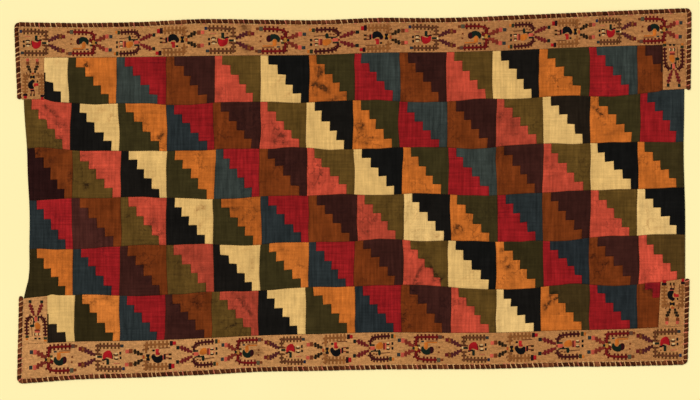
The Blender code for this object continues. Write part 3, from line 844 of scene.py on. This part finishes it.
motifLengths = {"a": 195, "b": 180, "c": 162, "d": 183}
motifs = {
    "a": [
        ("fern", "oliveBrown", "toothBrown", 8.4, 3.8, 11.2, 7.6, 15.3,
         [(10, 42), (60, 42.5), (102, 38)], [(15, -43), (60, -43.5), (106, -43)]),
        ("fern", "oliveBrown", "toothBrown", 8.4, 3.8, 10.4, 7.2, 14.5,
         [(108.5, 48), (109.5, 30), (110, 8)], [(109, -50), (110, -34), (110, -10)]),
        ("block", "darkBlue", 3.5, 42, 11, 12), ("block", "slate", 10, -42.5, 13.5, 11),
        ("leaf", "purple", "purple", 9, 20, 8.8, 12.8,
         [(119, 5), (142, 16), (161, 23.5)], [(119, -10), (142, -20), (161, -29.5)]),
        ("leaf", "ochre", "rustBrown", 9.5, 22, 6.5, 7.5,
         [(163, 23.5), (176, 23.5)], [(163, -31), (176, -33)]),
        ("blocks", "maroonRed", 13, 14, [(184, 22.5), (182, -34)]),
        ("shape", "red", [(50, 6), (58, 3), (69, -1), (76, -0.5), (81, 5), (88, 6.5), (89.5, -4), (87, -15),
                          (80, -22), (69, -26.5), (58, -25.5), (52.5, -17), (50, -5)]),
        ("line", "darkMaroon", 4.8, [(49.5, 5), (50, -6), (53.5, -18)]),
        ("block", "darkGreen", 68.5, 15.5, 11.5, 21),
        ("line", "black", 6.5, [(69, 6.5), (77, 5), (86, 8.5), (92, 8)]),
        ("block", "darkGreen", 102, -3.5, 19, 8.5), ("block", "rustBrown", 99, -12, 14, 6),
        ("block", "cream", 115.5, -4.5, 5, 8), ("blocks", "darkBrown", 8, 6, [(122, 3.5), (123, -11)]),
        ("blocks", "rustBrown", 6, 5, [(86, 21.5), (97, 12.5)]),
        ("line", "fadedPink", 4, [(20, 22), (44, 22)]),
        ("block", "black", 16, 1.5, 8, 9.5), ("block", "black", 17, -15.5, 8, 11),
        ("line", "black", 4.6, [(24, 4), (30, 7), (38, 6.5), (43, 3.5)],
         [(25, -11), (31, -8.5), (40, -9), (45, -12)]),
        ("blocks", "cream", 11, 4.6, [(33, 0.5), (34, -15)]),
    ],
    "b": [
        ("fern", "crimson", "deepCrimson", 9.4, 4.2, 11.6, 7.4, 14.4, [(21, 41.5), (60, 41), (85, 38)]),
        ("fern", "crimson", "deepCrimson", 8.6, 3.8, 10.4, 7.2, 14,
         [(85, 38), (96, 34.5), (102.5, 27), (102, 16), (92, 8), (82, 4)]),
        ("fern", "crimson", "deepCrimson", 9.4, 4.2, 11.2, 7.4, 14.4, [(14, -44.5), (60, -45), (95, -43.5)]),
        ("fern", "crimson", "deepCrimson", 8.6, 3.8, 10, 7.2, 13,
         [(97, -48), (99, -34), (99, -18), (103, -11)]),
        ("block", "rustBrown", 1.5, 41.5, 11, 10), ("block", "tealGrey", 14, 42, 13, 16.5),
        ("block", "rustBrown", -2, -44.5, 10, 9.5), ("block", "greyBrown", 8.5, -45, 13.5, 14),
        ("leaf", "brick", "brick", 9.5, 21, 9.2, 13.4,
         [(107, 5), (126, 13), (147, 22)], [(107, -9), (126, -20), (146, -30)]),
        ("blocks", "pink", 12.5, 17, [(151, 22.5), (149.5, -30.5)]),
        ("blocks", "slate", 12.5, 13.5, [(166, 22), (163.5, -31.5)]),
        ("shape", "darkGreen", [(43, 15), (50, 21.5), (61, 22.5), (73, 18), (80, 9), (81, 0.5), (78, -9.5),
                                (72, -9), (69.5, -2.5), (64, 3), (58, 3), (52.5, -4.5), (43, -8)]),
        ("shape", "darkMaroon", [(32, 1), (33, 10), (38, 16), (44, 18), (48, 15), (48, -7), (42, -9.5),
                                 (35, -7)]),
        ("line", "fadedPink", 4, [(44.5, 12.5), (45, -4)]), ("line", "purple", 4, [(40, 13), (40, -5)]),
        ("shape", "orange", [(56, -3), (62, 2), (67, 1), (69, -10), (67.5, -24.5), (56, -24.5), (54, -12)]),
        ("line", "orange", 4.6, [(20, -24.5), (60, -24.5)]),
        ("line", "rustBrown", 2.8, [(18, -30.5), (60, -29.5)]),
        ("block", "slate", 75, -28, 10.5, 6), ("blocks", "rustBrown", 6.5, 6.5, [(13.5, 12.5), (12, -6)]),
        ("ring", "ochre", 98.5, -1, 14, 19, 5.5), ("block", "darkGreen", 109, -2, 9, 9.5),
        ("block", "cream", 86.5, -4.5, 6, 5), ("block", "olive", 90, -12.5, 11, 8),
    ],
    "c": [
        ("fern", "wine", "toothRed", 8.8, 3.8, 11, 7, 13, [(17, 38), (50, 40), (76, 38.5)]),
        ("fern", "wine", "toothRed", 8.8, 3.8, 10.2, 6.8, 14.5, [(76, 38.5), (85, 34.5), (90, 27), (91, 12)]),
        ("fern", "wine", "toothRed", 8.8, 3.8, 11, 7, 13, [(13, -47), (50, -45.5), (74, -43)]),
        ("fern", "wine", "toothRed", 8.8, 3.8, 10.2, 6.8, 14.5,
         [(74, -43), (84, -38), (89.5, -30), (90, -16)]),
        ("block", "orange", 1, 39, 7, 11), ("block", "darkOliveGreen", 11, 37.5, 10, 15),
        ("block", "orange", -5, -46.5, 7, 12), ("block", "darkOliveGreen", 4.5, -46.5, 10, 16),
        ("leaf", "brick", "maroonRed", 9, 20, 8.4, 12,
         [(95, 5), (116, 15), (145, 25)], [(96, -10), (116, -20), (145, -31)]),
        ("blocks", "blackGreen", 11.5, 13.5, [(152, 24), (151, -29.5)]),
        ("shape", "orange", [(41, -3), (47, 0), (57, 2), (68, -2), (69, -10), (63, -19), (54, -24.5),
                             (44, -24), (40, -14)]),
        ("oval", "darkGreen", 54.5, 14.5, 11.5, 22),
        ("line", "darkGreen", 5.2, [(55, 7), (66, 8.5), (78, 7.5), (88, 10)]),
        ("block", "darkMaroon", 71, 3.5, 7, 6), ("blocks", "rustBrown", 7, 5, [(66, 21), (76, 18.5)]),
        ("block", "brick", 36.5, -9.5, 7, 25), ("block", "pink", 30.5, -9.5, 5.5, 24),
        ("line", "darkMaroon", 2.6, [(33.5, 2), (33.5, -21)]),
        ("blocks", "black", 7, 10.5, [(3.5, -1.5), (3.5, -19.5)]),
        ("blocks", "pink", 4, 5, [(14, -5.5), (14, -20)]),
        ("line", "black", 4.6, [(14, 0), (19, 2.5), (27, 1)], [(14, -18), (19, -15.5), (27, -17)]),
        ("blocks", "cream", 9, 3.8, [(20.5, -3), (20.5, -21.5)]),
        ("line", "oliveBrown", 3.4, [(13, 14), (30, 15), (50, 17)]),
        ("block", "pink", 81, -2.7, 18, 13), ("block", "blackGreen", 83, -14, 20, 6.5),
        ("block", "brick", 92.5, -3, 7, 8),
    ],
    "d": [
        ("fern", "paleBrown", "paleBrown", 8, 3, 14.2, 8.6, 15.4, [(20, 38.5), (60, 39), (104, 37)]),
        ("fern", "paleBrown", "paleBrown", 8, 3, 13.4, 8.6, 15.4, [(17, -45), (60, -45), (104, -44)]),
        ("fern", "paleBrown", "paleBrown", 8, 3, 10, 7, 14.5,
         [(106, 52), (106, 30), (106, 14)], [(106, -50), (106, -30), (105, -14)]),
        ("block", "red", 1.5, 38.5, 12, 16.5), ("block", "blackMaroon", 13.2, 39, 12, 22),
        ("block", "red", -4, -47, 12, 13), ("block", "blackMaroon", 8.2, -47, 12, 18),
        ("blocks", "oliveBrown", 6, 5.5, [(118, 33), (117, -26), (98, 22), (97, -30)]),
        ("shape", "black", [(41, 14), (47, 22.5), (61, 25.5), (74, 20.5), (82, 10), (86, 1.5), (84, -4.5),
                            (76, -6), (71, -2), (64, 1.5), (56, -0.5), (47, -6), (41, -2)]),
        ("shape", "darkMaroon", [(70, -1.5), (84, -2), (82, -8.5), (73, -9.5)]),
        ("line", "pink", 4, [(39.5, 13), (39.5, -3.5)]), ("block", "blackMaroon", 33.6, 2.5, 8, 21),
        ("block", "scarlet", 62.5, -17, 12.5, 22), ("block", "red", 58, -9, 12, 8),
        ("block", "black", 76.6, -22.5, 9.5, 7),
        ("block", "ochre", 85, -22.5, 6, 4), ("line", "oliveBrown", 3.6, [(13.5, -30.5), (55, -30.5)]),
        ("line", "brick", 4.4, [(16, 8), (31, 6)], [(16, -7), (31, -7)]),
        ("blocks", "darkBrown", 12, 7.5, [(12.5, 10), (12.5, -5.5)]),
        ("blocks", "black", 14, 9.5, [(98, 10.5), (98.5, -5)]), ("block", "black", 98, 2.5, 8, 9),
        ("blocks", "ochre", 5, 10, [(90.5, 2.5), (107, 2.5)]), ("block", "rust", 115, 0.5, 8, 13),
        ("leaf", "umber", "blackBrown", 9, 18, 9.6, 12.6,
         [(118, 10), (135, 19), (155, 28)], [(118, -9), (135, -14.5), (155, -24)]),
        ("blocks", "rustBrown", 14, 16, [(164.5, 26.5), (164.5, -23)]),
        ("blocks", "pink", 14, 13.5, [(180, 27), (178, -21.5)]),
    ],
}

threads = {}


def sew(colour, bm, toCloth):
    for vert in bm.verts:
        x, y = toCloth(vert.co.x, vert.co.y)
        vert.co = (x, y, (border["height"] + vert.co.z) * mm + clothLift(x, y))
    bmesh.ops.recalc_face_normals(bm, faces=bm.faces)
    appendTo(threads.setdefault(colour, bmesh.new()), bm)


def sewLine(colour, width, points, toCloth):
    sew(colour, softTube(alongLine(points), width), toCloth)


# Places at an even pitch along a line that has a point at each millimetre.
def pitched(line, pitch):
    place = pitch / 2
    while place < len(line) - 1:
        yield place
        place += pitch


# A stem with teeth standing out on both sides, evenly along it, each a little wider at its end.
def sewFern(colour, toothColour, width, root, reach, toothWidth, pitch, points, toCloth):
    sewLine(colour, width, points, toCloth)
    line = resampled(points, 1.0)
    atRoot = yarn["toothRoot"] / 2
    for place in pitched(line, pitch):
        for side in (1, -1):
            corners = [beside(line, round(place), aside * side, ahead * toothWidth)
                       for ahead, aside in ((-atRoot, root), (atRoot, root), (0.5, reach), (-0.5, reach))]
            sew(toothColour, softShape(corners), toCloth)


# A leaf: a spine crossed by upright bars, the first of them short.
def sewLeaf(colour, barColour, width, barHeight, barWidth, pitch, points, toCloth):
    sewLine(colour, width, points, toCloth)
    line = resampled(points, 1.0)
    for place in pitched(line, pitch):
        x, y = line[round(place)]
        tall = barHeight * between(yarn["firstBar"], 1.0, smoothShare(place / len(line) / yarn["shortBars"]))
        sew(barColour, softBlock(x, y, barWidth, tall), toCloth)


def sewRing(colour, x, y, width, height, thickness, toCloth):
    loop = ellipse(x, y, width - thickness, height - thickness, 12)
    sew(colour, softTube(loop + loop[:1], thickness), toCloth)


def sewRow(row, toCloth):
    kind, colour, *sizes = row
    lines = [size for size in sizes if isinstance(size, list)]
    sizes = [size for size in sizes if not isinstance(size, list)]
    if kind == "block":
        sew(colour, softBlock(*sizes), toCloth)
    elif kind == "oval":
        sew(colour, softShape(ellipse(*sizes)), toCloth)
    elif kind == "ring":
        sewRing(colour, *sizes, toCloth)
    for line in lines:
        if kind == "shape":
            sew(colour, softShape(line), toCloth)
        elif kind == "blocks":
            for x, y in line:
                sew(colour, softBlock(x, y, *sizes), toCloth)
        else:
            {"line": sewLine, "leaf": sewLeaf, "fern": sewFern}[kind](colour, *sizes, line, toCloth)


def sewMotif(name, toCloth):
    for row in motifs[name]:
        sewRow(row, toCloth)


# Where the motifs of each band start, from the left, and the end of the last one.
motifStarts = {
    "upper": (-1278, -1094, -909, -748, -568, -368, -165, 35, 215, 407, 603, 768, 933, 1098, 1278),
    "lower": (-1251, -1059, -871, -683, -514, -345, -176, -4, 161, 349, 530, 706, 891, 1082, 1266),
}
motifOrder = {"upper": "abcd", "lower": "badc"}
motifGap = 6
plainBandWidth = 121  # the width of band at which a motif keeps its own height
bandReach = 1255 * mm  # beyond this the band's end is rounded

bandOuter = {"upper": wholeSide("border_band_upper", 0, 1), "lower": wholeSide("border_band_lower", 0, 0)}
bandSeam = {"upper": upperSeam, "lower": lowerSeam}


def bandPlacer(half, start, end, length):
    stretch = (end - start - motifGap) / length

    def toCloth(x, y):
        along = start + x * stretch if half == "upper" else end - motifGap - x * stretch
        placeX = along * mm
        level = min(max(placeX, -bandReach), bandReach)
        seam, outer = bandSeam[half](level), bandOuter[half](level)
        tall = abs(outer - seam) / (plainBandWidth * mm)
        return placeX, (seam + outer) / 2 + y * mm * tall * outwards[half]

    return toCloth


# The tabs' motifs: the middle line, where the flower opens and where the leaves end, and the height.
tabMotif = namedtuple("tabMotif", "name middle open tips tall mirrored")
tabMotifs = [
    tabMotif("d", -1228, 377, 524, 0.755, False),
    tabMotif("c", 1233, 583, 413, 0.795, False),
    tabMotif("c", -1219, -551, -396, 0.833, False),
    tabMotif("d", 1227, -327, -490, 0.830, True),
]


def tabPlacer(spot):
    length = motifLengths[spot.name]
    upwards = 1 if spot.tips > spot.open else -1

    def toCloth(x, y):
        placeY = between(spot.open, spot.tips, x / length)
        aside = -upwards * y * spot.tall * (-1 if spot.mirrored else 1)
        return (spot.middle + aside) * mm, placeY * mm

    return toCloth


for half, starts in motifStarts.items():
    for i, (start, end) in enumerate(zip(starts, starts[1:])):
        name = motifOrder[half][i % 4]
        sewMotif(name, bandPlacer(half, start, end, motifLengths[name]))
for spot in tabMotifs:
    sewMotif(spot.name, tabPlacer(spot))

yarnDyes = {
    "deepCrimson": (90, 20, 18), "blackMaroon": (38, 18, 18), "umber": (84, 56, 30),
    "darkBlue": (34, 40, 60), "blackGreen": (26, 30, 24), "toothBrown": (86, 50, 22),
    "toothRed": (76, 32, 20), "wine": (66, 20, 20), "crimson": (112, 22, 20), "red": (166, 24, 28),
    "scarlet": (178, 34, 34), "brick": (122, 44, 30), "maroonRed": (104, 28, 28),
    "darkMaroon": (52, 14, 18), "purple": (82, 32, 32), "oliveBrown": (104, 58, 34),
    "darkBrown": (56, 32, 14), "blackBrown": (38, 26, 14), "rustBrown": (112, 54, 26),
    "greyBrown": (92, 60, 44), "rust": (160, 70, 32), "ochre": (182, 122, 44), "orange": (196, 104, 34),
    "olive": (70, 60, 30), "darkOliveGreen": (46, 46, 26), "tealGrey": (84, 74, 52),
    "slate": (48, 50, 48), "darkGreen": (24, 34, 24), "black": (18, 16, 16), "pink": (198, 84, 62),
    "fadedPink": (190, 108, 72), "cream": (222, 186, 128), "paleBrown": (142, 86, 42),
}


def embroideryYarn(name, colour):
    material, tree = newMaterial(name)
    stitches = texture(tree, "Wave", (210.0, 210.0, 0.0), values={"Distortion": 1.5, "Detail": 2.0},
                       bands_direction="DIAGONAL")
    fibre = mottled(tree, (600.0, 600.0, 1.0), 0.82, 1.2, 3.0, 0.7)
    worn = mottled(tree, (42.0, 42.0, 4.0), 0.80, 1.22, 3.0)
    # painted shade and light: the colour darkens between the rows of stitches and lightens on their crests,
    # after the same wave that gives the bump
    rows = spread(tree, stitches, 0.80, 1.12, 0.0, 1.0)
    darker = tuple(value * 0.86 for value in colour)
    base = toneRamp(tree, noiseValue(tree, (18.0, 18.0, 8.0)), (0.3, darker), (0.7, colour))
    colour = scaleColour(tree, base, fibre, worn, rows)
    finishWool(tree, colour, stitches, 0.85, 0.6, 0.35 * mm)
    return material


threadPieces = []
for colour, bm in sorted(threads.items()):
    name = "embroidery_" + "".join("_" + letter.lower() if letter.isupper() else letter for letter in colour)
    threadPieces.append(newPiece(name, bm, embroideryYarn(colour + "Yarn", yarnDyes[colour])))
print("embroidery made:", len(threadPieces), "yarns")


# The padded edging: dark blocks of looping with a thin cream bar between each two

edging = {
    "width": 17.0,
    "rise": 5.2,
    "base": 0.35,
    "onRipples": 0.35,  # the share of the cloth's own lift that the edging follows
    "rough": {"height": 0.35, "often": 260},
    "blockPitch": 20.0,
    "pitchWander": {"reach": 0.42, "run": 47, "seed": 4.4},
    "step": 1.7,
    "sides": 14,
    "endRun": 7.0,
    "endShare": 0.15,  # how thick an end is
    "blocks": {"count": 200, "wide": (0.95, 1.06), "tall": (0.92, 1.08), "lot": (0.26, 0.22)},
    "cornerSmoothing": 15.0,
    "setIn": 0.2,
    "cornerPart": 60.0,
    "endRoom": 0.5,
    # painted shade along each block: its lot, and so its colour, runs from darker at its start to lighter at
    # its end
    "blockShading": {"upper": 0.1, "lower": 0.5},
    "slantRun": 0.25,
    "slantSide": 0.35,
}
barYarn = {
    "width": {"upper": 3.2, "lower": 4.0},
    "uneven": (0.7, 1.25),  # the range of a bar's own width
    "shortSides": {"upper": 1.5, "lower": 1.05},  # how much wider the bars of the short sides are
    "height": 0.55,
    "raise": 0.35,
    "halfWidth": 2.6,  # of the hollow that a bar lies in
    "narrowing": 0.16,
    "dip": 0.26,
    "extraSlant": 0.15,
    "turns": (0.08, 0.92),  # of half a turn over the edging, from its outer side
    "points": 8,
    "clothPoints": 2,
    "clothReach": 5.5,
    "lots": {"upper": (0.1, 0.3, 0.4, 0.5, 0.6, 0.7, 0.8, 1.0),
             "lower": (0.2, 0.4, 0.5, 0.6, 0.7, 0.8, 0.8, 0.9, 1.0)},
}
dash = {"length": 8.0, "width": 3.2, "height": 0.6, "raise": 0.3, "aside": 1.4, "start": 8.0, "endRoom": 20,
        "gap": (3.0, 12.0), "unevenLength": (0.5, 1.6), "unevenWidth": (0.7, 1.1),
        "lots": (0.5, 0.7, 0.8, 0.8, 1.0)}


# The middle line of an edging: up one side, round the corner, along the band and down the other side.
def edgingLine(half):
    node = f"edging_{half}"
    upwards = outwards[half]
    low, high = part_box(node)
    offset = (edging["width"] / 2 + edging["setIn"]) * mm
    cornerPart = edging["cornerPart"] * mm
    run = sideLine(node, 0, 1 if half == "upper" else 0, low[0] + cornerPart, high[0] - cornerPart)
    arms = []
    for side, end in enumerate(sides):
        inwards = -outwards[end]
        tabLow, tabHigh = tabReach[half, end]
        arm = sideLine(node, 1, side, tabLow + tabMargin, tabHigh - tabMargin, 1)
        freeEnd = (tabLow if half == "upper" else tabHigh) + upwards * edging["endRoom"] * mm
        cornerX = (low, high)[side][0] + inwards * offset
        cornerY = run(cornerX) - upwards * offset
        arms.append([(arm(y) + inwards * offset, y) for y in (freeEnd, cornerY)])
    (leftX, _), (rightX, _) = arms[0][1], arms[1][1]
    count = round((rightX - leftX) / (2 * lineStep))
    middle = [between(leftX, rightX, i / count) for i in range(1, count)]
    return arms[0] + [(x, run(x) - upwards * offset) for x in middle] + arms[1][::-1]


# Rounds the corners of a line by averaging each point with those near it.
def smoothed(points, reach):
    made = []
    for i in range(len(points)):
        span = min(reach, i, len(points) - 1 - i)
        near = points[i - span:i + span + 1]
        made.append((sum(x for x, _ in near) / len(near), sum(y for _, y in near) / len(near)))
    return made


def edgingWool():
    material, tree = newMaterial("edgingWool")
    colour = toneRamp(tree, attribute(tree, "lot"), (0.0, (62, 27, 11)), (0.4, (88, 41, 20)),
                      (0.75, (116, 62, 33)), (1.0, (140, 80, 46)))
    loops = texture(tree, "Voronoi", (520.0, 520.0, 400.0), "Distance")
    # painted light and shade on the loops: the colour is lighter on each loop's top and darker in the hollows
    # between loops; the same values give the bump
    depth = spread(tree, loops, 1.15, 0.62, 0.0, 0.8)
    mottle = mottled(tree, (110.0, 110.0, 60.0), 0.76, 1.24, 3.0)
    finishWool(tree, scaleColour(tree, colour, depth, mottle), depth, 0.85, 0.7, 0.6 * mm)
    return material


def barWool():
    material, tree = newMaterial("barWool")
    colour = toneRamp(tree, attribute(tree, "lot"), (0.0, (140, 80, 44)), (0.4, (180, 120, 72)),
                      (0.8, (218, 166, 108)), (1.0, (198, 110, 80)))
    mottle = mottled(tree, (240.0, 240.0, 120.0), 0.80, 1.16, 3.0)
    loops = mottled(tree, (700.0, 700.0, 500.0), 0.84, 1.1)
    finishWool(tree, scaleColour(tree, colour, mottle, loops), loops, 0.88, 0.6, 0.4 * mm)
    return material


# The place of a point of the line in blocks along it. Some blocks are longer than others.
def blocksAt(position):
    along = position * edging["step"]
    wander = edging["pitchWander"]
    shift = noise.noise(Vector((along / wander["run"], wander["seed"], 0.0)))
    return along / edging["blockPitch"] + wander["reach"] * shift


# How much a place on the edging, in blocks along it, belongs to a bar: 1 in its middle.
def barShare(place):
    off = (place - round(place)) * edging["blockPitch"] / barYarn["halfWidth"]
    return exp(-off * off)


# 1 on the short sides of the cloth and 0 on its long ones.
def onShortSide(line, i):
    return smoothShare(abs(sideways(line, i)[0]) * 1.4 - 0.2)


# How far a place aside of the line runs ahead of it, in points of the line: the bars are slanted.
def aheadBy(slant, aside):
    return slant * aside * edging["width"] / 2 / edging["step"]


def slantAt(line, i):
    return between(edging["slantRun"], edging["slantSide"], onShortSide(line, i))


# A point on the edging's surface: aside from -1 to 1 across it, rise the share of its height.
def edgingPoint(line, i, aside, rise, lumps):
    x, y = line[i]
    place = blocksAt(i + aheadBy(slantAt(line, i), aside))
    bar = barShare(place)
    block = lumps[round(place - 0.5) % len(lumps)]
    width = edging["width"] * mm * (1 - barYarn["narrowing"] * bar) * block["wide"]
    height = edging["rise"] * mm * (1 - barYarn["dip"] * bar) * block["tall"]
    often = edging["rough"]["often"]
    rough = edging["rough"]["height"] * mm * noise.noise(Vector((x * often, y * often, aside * 3)))
    z = edging["base"] * mm + max(rise, 0.0) * (height + rough) + clothLift(x, y) * edging["onRipples"]
    return (*beside(line, i, aside * (width / 2 + rough)), z), place


def edgingCore(half, line, lumps):
    count = len(line) - 1

    def setVert(i, turn):
        fromEnd = min(i, count - i) * edging["step"]
        taper = max((1 - (1 - min(fromEnd / edging["endRun"], 1.0)) ** 2) ** 0.5, edging["endShare"])
        point, place = edgingPoint(line, i, cos(turn) * taper, sin(turn) * taper, lumps)
        # painted shade: each block darkens towards its start and lightens towards its end; the lot attribute
        # here carries the block's own lot and this painted shade
        blockShade = edging["blockShading"][half] * (place % 1.0 - 0.4)
        return point, min(max(lumps[round(place - 0.5) % len(lumps)]["lot"] + blockShade, 0.0), 1.0)

    return closedTube(count, edging["sides"], 0.01 * mm, setVert, "lot")


# A closed strand through points above the cloth, thickest in its middle.
def strandOver(points, width, height, lot):
    count = len(points) - 1
    centre = [Vector(point) for point in points]

    def setVert(k, turn):
        ahead = centre[min(k + 1, count)] - centre[max(k - 1, 0)]
        across = Vector((-ahead.y, ahead.x, 0.0)).normalized()
        up = ahead.cross(across).normalized()
        if up.z < 0:
            up = -up
        taper = 0.55 + 0.45 * sin(pi * k / count)
        return centre[k] + across * (cos(turn) * width * taper / 2) + up * (sin(turn) * height), lot

    return closedTube(count, yarn["tubeSides"], 0.01 * mm, setVert, "lot")


# A point over the border cloth, so far inwards from the edging's middle line.
def onCloth(half, line, i, out, height):
    x, y = beside(line, i, -outwards[half] * (edging["width"] / 2 + out) * mm)
    return x, y, height * mm + clothLift(x, y)


# Thin bars over the edging. Their yarn runs on over the border cloth.
def edgingBars(half, line, lumps):
    bars = bmesh.new()
    bars.verts.layers.float.new("lot")
    count = barYarn["points"]
    middles = [i for i in range(4, len(line) - 4) if int(blocksAt(i)) > int(blocksAt(i - 1))]
    for middle in middles:
        points = []
        slant = slantAt(line, middle) + random.uniform(-barYarn["extraSlant"], barYarn["extraSlant"])
        for k in range(count + barYarn["clothPoints"] + 1):
            turn = between(*barYarn["turns"], min(k, count) / count) * pi
            aside = outwards[half] * cos(turn)
            i = min(max(round(middle - aheadBy(slant, aside)), 2), len(line) - 3)
            point, _ = edgingPoint(line, i, aside, sin(turn), lumps)
            if k > count:
                out = (k - count) / barYarn["clothPoints"] * barYarn["clothReach"]
                point = onCloth(half, line, i, out, border["height"])
            points.append((point[0], point[1], point[2] + barYarn["raise"] * mm))
        wider = between(1.0, barYarn["shortSides"][half], onShortSide(line, middle))
        width = barYarn["width"][half] * wider * random.uniform(*barYarn["uneven"]) * mm
        lot = random.choice(barYarn["lots"][half])
        appendTo(bars, strandOver(points, width, barYarn["height"] * mm, lot))
    return bars


# Pale dashes of stitching where the edging meets the border cloth.
def edgingDashes(half, line, bars):
    place = dash["start"]
    total = (len(line) - 1) * edging["step"]
    while place < total - dash["endRoom"]:
        length = dash["length"] * random.uniform(*dash["unevenLength"])
        ends = [round(between(place, place + length, k / 4) / edging["step"]) for k in range(5)]
        points = [onCloth(half, line, i, dash["aside"], border["height"] + dash["raise"]) for i in ends]
        lot = random.choice(dash["lots"])
        width = dash["width"] * random.uniform(*dash["unevenWidth"]) * mm
        appendTo(bars, strandOver(points, width, dash["height"] * mm, lot))
        place += length + random.uniform(*dash["gap"])


edgingFinish, barFinish = edgingWool(), barWool()
edgingPieces = {}
for half in halves:
    line = resampled(edgingLine(half), edging["step"] * mm)
    line = smoothed(line, round(edging["cornerSmoothing"] / edging["step"]))
    blocks = edging["blocks"]
    lumps = [{"wide": random.uniform(*blocks["wide"]), "tall": random.uniform(*blocks["tall"]),
              "lot": min(max(random.gauss(*blocks["lot"]), 0.0), 1.0)} for _ in range(blocks["count"])]
    core = newPiece(f"edging_loops_{half}", edgingCore(half, line, lumps), edgingFinish)
    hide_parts(f"edging_{half}")
    bars = edgingBars(half, line, lumps)
    edgingDashes(half, line, bars)
    barPiece = newPiece(f"edging_bars_{half}", bars, barFinish)
    edgingPieces[half] = [core, barPiece]
print("edging made")

for nodeName, (piece, flat) in borderPieces.items():
    extras = edgingPieces[nodeName.split("_")[-1]] if "band" in nodeName else []
    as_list(extras)


# Whip stitches over the seams of the field

stitch = {"pitch": 9.0, "length": 4.6, "width": 0.9, "height": 0.7, "raise": 0.25, "turn": 0.9, "wander": 0.2}
seams = bmesh.new()


def stitchAlong(points):
    line = resampled(points, stitch["pitch"] * mm)
    sizes = Matrix.Diagonal((stitch["length"] * mm, stitch["width"] * mm, stitch["height"] * mm, 1.0))
    for i, (x, y) in enumerate(line[1:-1], 1):
        sideX, sideY = sideways(line, i)
        turn = atan2(sideY, sideX) + stitch["turn"] + random.uniform(-stitch["wander"], stitch["wander"])
        cube = bmesh.ops.create_cube(seams, size=1.0)["verts"]
        z = (patch["height"] - patch["seamDepth"] + stitch["raise"]) * mm + clothLift(x, y)
        place = Matrix.Translation((x, y, z)) @ Matrix.Rotation(turn, 4, "Z") @ sizes
        bmesh.ops.transform(seams, matrix=place, verts=cube)


for row in range(patch["rows"]):
    for column in range(patch["columns"]):
        if row in (0, patch["rows"] - 1) and column in (0, patch["columns"] - 1):
            continue  # beside a tab
        placeAt = squarePlacer(row, column)
        if column > 0:
            stitchAlong([placeAt(0.0, i / 4) for i in range(5)])
        if row > 0:
            stitchAlong([placeAt(i / 4, 1.0) for i in range(5)])
for half, line in bandSeam.items():
    low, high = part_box(f"border_band_{half}")
    stitchAlong([(x, line(x)) for x in (between(low[0], high[0], i / 30) for i in range(31))])


def seamYarn():
    material, tree = newMaterial("seamYarn")
    colour = toneRamp(tree, noiseValue(tree, (4.0, 4.0, 1.0)), (0.35, (58, 36, 22)), (0.65, (96, 60, 36)))
    twist = mottled(tree, (900.0, 900.0, 1.0), 0.75, 1.2)
    finishWool(tree, scaleColour(tree, colour, twist), twist, 0.88, 0.4, 0.2 * mm)
    return material


newPiece("seam_stitches", seams, seamYarn())
print("seams sewn")


# Floor, light and camera


def paleFloor():
    material, tree = newMaterial("paleFloor")
    grain = noiseValue(tree, (1.5, 1.5, 1.5))
    colour = toneRamp(tree, grain, (0.3, (252, 235, 173)), (0.7, (254, 238, 176)))
    shader = tree.nodes["Principled BSDF"]
    shader.inputs["Roughness"].default_value = 0.95
    shader.inputs["Specular IOR Level"].default_value = 0.0
    tree.links.new(colour, shader.inputs["Base Color"])
    return material


bm = bmesh.new()
bmesh.ops.create_grid(bm, x_segments=4, y_segments=4, size=9.0)
bmesh.ops.translate(bm, verts=bm.verts, vec=(0.0, 0.0, -0.3 * mm))
floorMesh = bpy.data.meshes.new("floor")
bm.to_mesh(floorMesh)
bm.free()
floorMesh.materials.append(paleFloor())
floor = linked("floor", floorMesh)

light = {"sky": 0.74, "sun": 1.50, "sunSpread": 24, "sunHeight": 40, "sunFrom": 135}
world = bpy.data.worlds.new("studio")
world.use_nodes = True
sky = world.node_tree.nodes["Background"].inputs
sky["Color"].default_value = (1.0, 1.0, 1.0, 1.0)
sky["Strength"].default_value = light["sky"]
bpy.context.scene.world = world
sunData = bpy.data.lights.new("softSun", "SUN")
sunData.energy = light["sun"]
sunData.angle = radians(light["sunSpread"])
sun = linked("softSun", sunData)
height, heading = radians(light["sunHeight"]), radians(light["sunFrom"])
towards = Vector((cos(heading) * cos(height), sin(heading) * cos(height), sin(height)))
sun.rotation_euler = towards.to_track_quat("Z", "Y").to_euler()

view = {"x": -11.3, "y": -15.9, "height": 6345, "lens": 85, "sensor": 36}
cameraData = bpy.data.cameras.new("camera")
cameraData.lens = view["lens"]
cameraData.sensor_width = view["sensor"]
cameraData.clip_end = 60.0
camera = linked("camera", cameraData)
camera.location = (view["x"] * mm, view["y"] * mm, view["height"] * mm)
bpy.context.scene.camera = camera
bpy.context.scene.view_settings.view_transform = "Standard"

bpy.context.view_layer.update()
print("scene ready")
